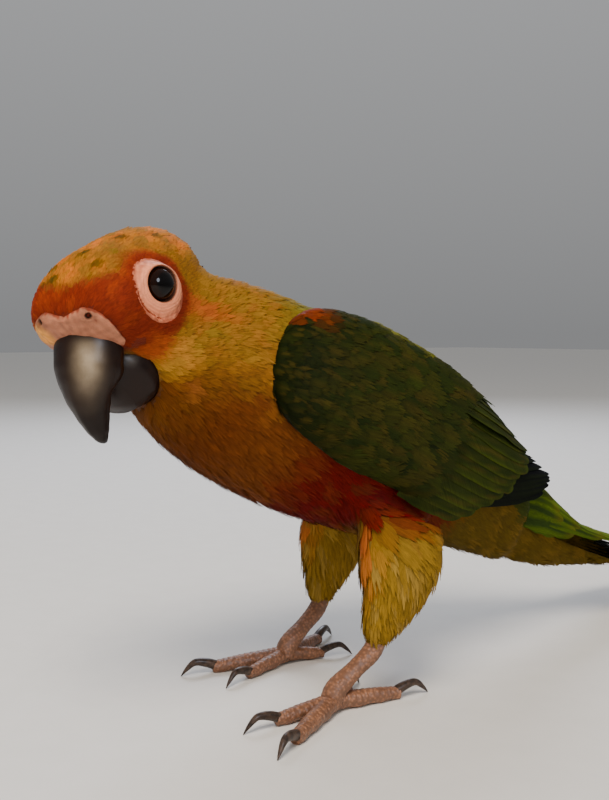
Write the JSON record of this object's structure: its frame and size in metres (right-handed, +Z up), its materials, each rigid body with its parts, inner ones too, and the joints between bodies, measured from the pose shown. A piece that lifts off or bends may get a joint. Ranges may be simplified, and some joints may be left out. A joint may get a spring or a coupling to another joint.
{
  "type": "sun conure model",
  "caption": "Life-size still model of a sun conure standing on both feet, head turned to its left and bowed, wings folded, with a long graduated tail.",
  "frame": {"origin": "middle of the bounding box at floor level", "axes": "+Z up, the body faces -Y, the bird's left side is +X"},
  "size_m": [0.057, 0.2476, 0.1072],
  "materials": {
    "plumage_head": "soft feathers, orange to golden olive",
    "plumage_olive": "soft feathers, golden olive",
    "plumage_breast": "soft feathers, brown-orange to maroon",
    "plumage_wing": "firm feather vanes, dark green, with blue-black tips",
    "plumage_tail": "firm feather vanes, green to blue-black",
    "bill_horn": "dark horn with a soft sheen",
    "claw_horn": "dark horn",
    "foot_skin": "scaly skin, pinkish grey",
    "eye": "wet gloss, dark brown"
  },
  "bodies": {
    "root": {"head": "plumage_head", "neck": "plumage_olive", "torso": "plumage_breast", "rump": "plumage_olive", "bill_upper": "bill_horn", "bill_lower": "bill_horn", "tail": "plumage_tail", "eye_left": "eye", "wing_left": "plumage_wing", "thigh_left": "plumage_olive", "tarsus_left": "foot_skin", "toe_left_inner_front": "foot_skin", "claw_left_inner_front": "claw_horn", "toe_left_outer_front": "foot_skin", "claw_left_outer_front": "claw_horn", "toe_left_inner_back": "foot_skin", "claw_left_inner_back": "claw_horn", "toe_left_outer_back": "foot_skin", "claw_left_outer_back": "claw_horn", "eye_right": "eye", "wing_right": "plumage_wing", "thigh_right": "plumage_olive", "tarsus_right": "foot_skin", "toe_right_inner_front": "foot_skin", "claw_right_inner_front": "claw_horn", "toe_right_outer_front": "foot_skin", "claw_right_outer_front": "claw_horn", "toe_right_inner_back": "foot_skin", "claw_right_inner_back": "claw_horn", "toe_right_outer_back": "foot_skin", "claw_right_outer_back": "claw_horn"}
  },
  "joints": []
}
